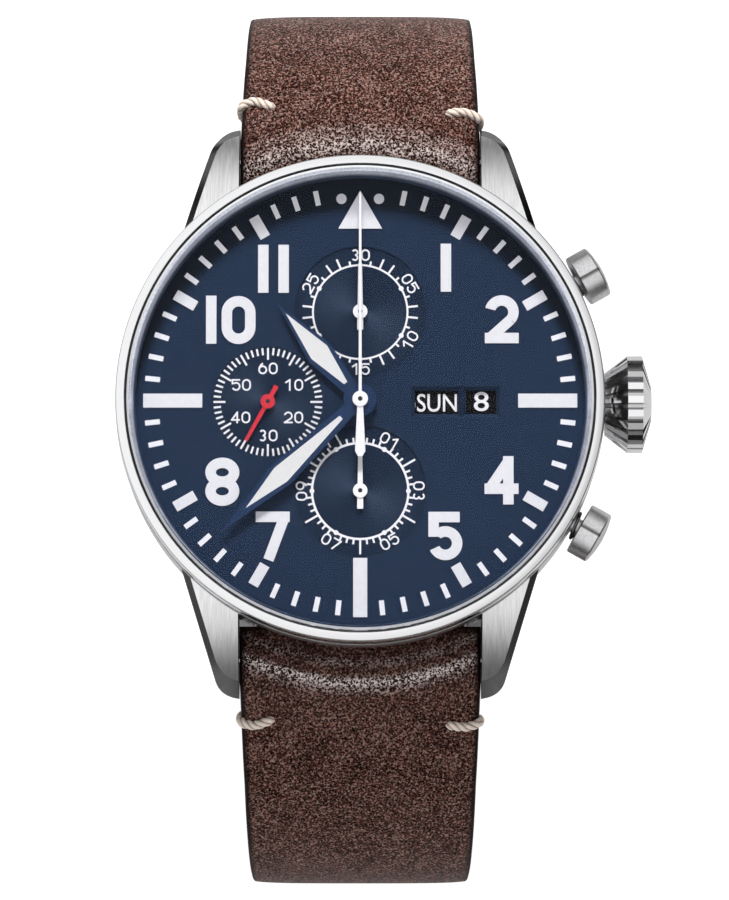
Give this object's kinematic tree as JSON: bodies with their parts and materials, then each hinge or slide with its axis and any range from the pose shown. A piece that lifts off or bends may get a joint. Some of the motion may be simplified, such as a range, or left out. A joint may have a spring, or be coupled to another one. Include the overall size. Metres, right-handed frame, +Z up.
{
  "type": "pilot chronograph wristwatch",
  "caption": "Round steel pilot chronograph with a blue dial, subdials, crown and pushers, on a buckled grained leather strap with thick edge stitches.",
  "frame": {"origin": "on the plane the buckled watch stands on, straight under the centre of the dial, on the flat underside of the fixed keeper", "axes": "+Z up, the way the dial faces; +Y to 12 o'clock; +X to 3 o'clock and the crown"},
  "size_m": [0.0484, 0.0811, 0.0553],
  "materials": {
    "case_steel": "vertical satin brushing, polished edges",
    "polished_steel": "polished",
    "crystal_glass": "clear, flat, coated",
    "black_rubber": "matt",
    "dial_blue": "matt dark blue, circular grain in the subdials",
    "lume": "white luminous filling",
    "white_print": "printed white",
    "white_metal": "white lacquer",
    "red_metal": "red lacquer",
    "blue_metal": "blue lacquer with a sheen",
    "black_disc": "matt black",
    "nickel": "fine straight graining",
    "brass": "bright turned",
    "blued_steel": "blued and polished",
    "ruby": "clear red jewel",
    "spring_steel": "bare wire",
    "leather_brown": "grained, speckled, dark painted edge",
    "thread_beige": "thick twisted waxed thread"
  },
  "bodies": {
    "head": {"case_middle": "case_steel", "bezel": "polished_steel", "crystal": "crystal_glass", "crystal_gasket": "black_rubber", "rehaut": "polished_steel", "case_back": "case_steel", "back_glass": "crystal_glass", "crown_tube": "polished_steel", "pusher_tubes": "polished_steel", "pusher_springs": "spring_steel", "dial": "dial_blue", "hour_markers": "lume", "dial_numerals": "lume", "dial_print": "white_print", "mainplate": "nickel", "movement_ring": "nickel", "train_bridge": "nickel", "balance_cock": "nickel", "bridge_jewels": "ruby", "bridge_screws": "blued_steel", "hairspring": "spring_steel", "automatic_bridge": "nickel", "strap_buckle_half": "leather_brown", "strap_hole_half": "leather_brown", "edge_stitches": "thread_beige", "lug_spring_bars": "spring_steel", "buckle_spring_bar": "spring_steel", "buckle_frame": "case_steel", "fixed_keeper": "leather_brown"},
    "minutes": {"minute_hand": "blue_metal", "minute_hand_lume": "lume", "cannon_pinion": "spring_steel", "centre_wheel": "brass"},
    "hours": {"hour_hand": "blue_metal", "hour_hand_lume": "lume", "hour_wheel": "brass"},
    "minute_work": {"minute_wheel": "brass"},
    "third": {"third_wheel": "brass"},
    "seconds": {"fourth_wheel": "brass", "small_seconds_hand": "red_metal"},
    "escape": {"escape_wheel": "spring_steel"},
    "pallets": {"pallet_fork": "spring_steel"},
    "balance": {"balance_wheel": "brass"},
    "barrel": {"barrel": "brass"},
    "chrono_seconds": {"chrono_seconds_hand": "white_metal", "chrono_seconds_wheel": "brass"},
    "minute_counter": {"minute_counter_hand": "white_metal", "minute_counter_wheel": "brass"},
    "hour_counter": {"hour_counter_hand": "white_metal", "hour_counter_wheel": "brass"},
    "date": {"date_disc": "black_disc"},
    "day": {"day_disc": "black_disc"},
    "rotor": {"rotor": "nickel"},
    "stem_carrier": {"setting_lever": "nickel"},
    "crown": {"crown": "polished_steel", "winding_stem": "spring_steel"},
    "pusher_top": {"pusher_top": "polished_steel"},
    "pusher_low": {"pusher_low": "polished_steel"},
    "tongue": {"buckle_tongue": "polished_steel"},
    "loose_keeper": {"loose_keeper": "leather_brown"}
  },
  "joints": [
    {"name": "minute_hand_turn", "type": "hinge", "parent": "head", "child": "minutes", "pos_m": [0, 0, 0.0523], "axis": [0, 0, -1], "continuous": true},
    {"name": "hour_hand_turn", "type": "hinge", "parent": "head", "child": "hours", "pos_m": [0, 0, 0.0519], "axis": [0, 0, -1], "continuous": true},
    {"name": "minute_wheel_turn", "type": "hinge", "parent": "head", "child": "minute_work", "pos_m": [0.0016, 0.00277, 0.0493], "axis": [0, 0, -1], "continuous": true},
    {"name": "third_wheel_turn", "type": "hinge", "parent": "head", "child": "third", "pos_m": [-0.00453, -0.0041, 0.0464], "axis": [0, 0, -1], "continuous": true},
    {"name": "small_seconds_turn", "type": "hinge", "parent": "head", "child": "seconds", "pos_m": [-0.0083, -0.0001, 0.0458], "axis": [0, 0, -1], "continuous": true},
    {"name": "escape_wheel_turn", "type": "hinge", "parent": "head", "child": "escape", "pos_m": [-0.01224, 0.00217, 0.047], "axis": [0, 0, -1], "continuous": true},
    {"name": "barrel_turn", "type": "hinge", "parent": "head", "child": "barrel", "pos_m": [0.00595, -0.0032, 0.046], "axis": [0, 0, -1], "continuous": true},
    {"name": "pallet_rock", "type": "hinge", "parent": "head", "child": "pallets", "pos_m": [-0.00965, 0.00467, 0.047], "axis": [0, 0, -1], "range_deg": [-5, 5]},
    {"name": "balance_swing", "type": "hinge", "parent": "head", "child": "balance", "pos_m": [-0.0066, 0.0076, 0.0463], "axis": [0, 0, -1], "range_deg": [-270, 270], "stiffness_Nm_per_rad": 0.00000058},
    {"name": "chrono_seconds_turn", "type": "hinge", "parent": "head", "child": "chrono_seconds", "pos_m": [0, 0, 0.0528], "axis": [0, 0, -1], "continuous": true},
    {"name": "minute_counter_turn", "type": "hinge", "parent": "head", "child": "minute_counter", "pos_m": [0, 0.00805, 0.0515], "axis": [0, 0, -1], "continuous": true},
    {"name": "hour_counter_turn", "type": "hinge", "parent": "head", "child": "hour_counter", "pos_m": [0, -0.00815, 0.0515], "axis": [0, 0, -1], "continuous": true},
    {"name": "date_disc_turn", "type": "hinge", "parent": "head", "child": "date", "pos_m": [0, 0, 0.0504], "axis": [0, 0, -1], "continuous": true},
    {"name": "day_disc_turn", "type": "hinge", "parent": "head", "child": "day", "pos_m": [0.00193, -0.00012, 0.0504], "axis": [0, 0, -1], "continuous": true},
    {"name": "rotor_turn", "type": "hinge", "parent": "head", "child": "rotor", "pos_m": [0, 0, 0.0432], "axis": [0, 0, 1], "continuous": true},
    {"name": "crown_pull", "type": "slide", "parent": "head", "child": "stem_carrier", "axis": [1, 0, 0], "range_m": [0, 0.0015]},
    {"name": "crown_turn", "type": "hinge", "parent": "stem_carrier", "child": "crown", "pos_m": [0, 0, 0.0482], "axis": [1, 0, 0], "continuous": true},
    {"name": "pusher_top_press", "type": "slide", "parent": "head", "child": "pusher_top", "axis": [-0.8704, -0.4924, 0], "range_m": [0, 0.00065], "stiffness_N_per_m": 2000, "deforming": ["pusher_springs"]},
    {"name": "pusher_low_press", "type": "slide", "parent": "head", "child": "pusher_low", "axis": [-0.8704, 0.4924, 0], "range_m": [0, 0.00065], "stiffness_N_per_m": 2000, "deforming": ["pusher_springs"]},
    {"name": "tongue_lift", "type": "hinge", "parent": "head", "child": "tongue", "pos_m": [0, -0.008, 0.0053], "axis": [1, 0, 0], "range_deg": [0, 2.4]},
    {"name": "keeper_slide", "type": "slide", "parent": "head", "child": "loose_keeper", "axis": [0, 1, 0], "range_m": [-0.004, 0.001]}
  ],
  "couplings": [
    {"joint": "hour_hand_turn", "follows": "minute_hand_turn", "ratio": 0.083333},
    {"joint": "minute_wheel_turn", "follows": "minute_hand_turn", "ratio": -0.33333},
    {"joint": "third_wheel_turn", "follows": "minute_hand_turn", "ratio": -8},
    {"joint": "small_seconds_turn", "follows": "minute_hand_turn", "ratio": 60},
    {"joint": "escape_wheel_turn", "follows": "minute_hand_turn", "ratio": -720},
    {"joint": "barrel_turn", "follows": "minute_hand_turn", "ratio": -0.14286},
    {"joint": "chrono_seconds_turn", "follows": "minute_counter_turn", "ratio": 30},
    {"joint": "hour_counter_turn", "follows": "minute_counter_turn", "ratio": 0.041667}
  ]
}
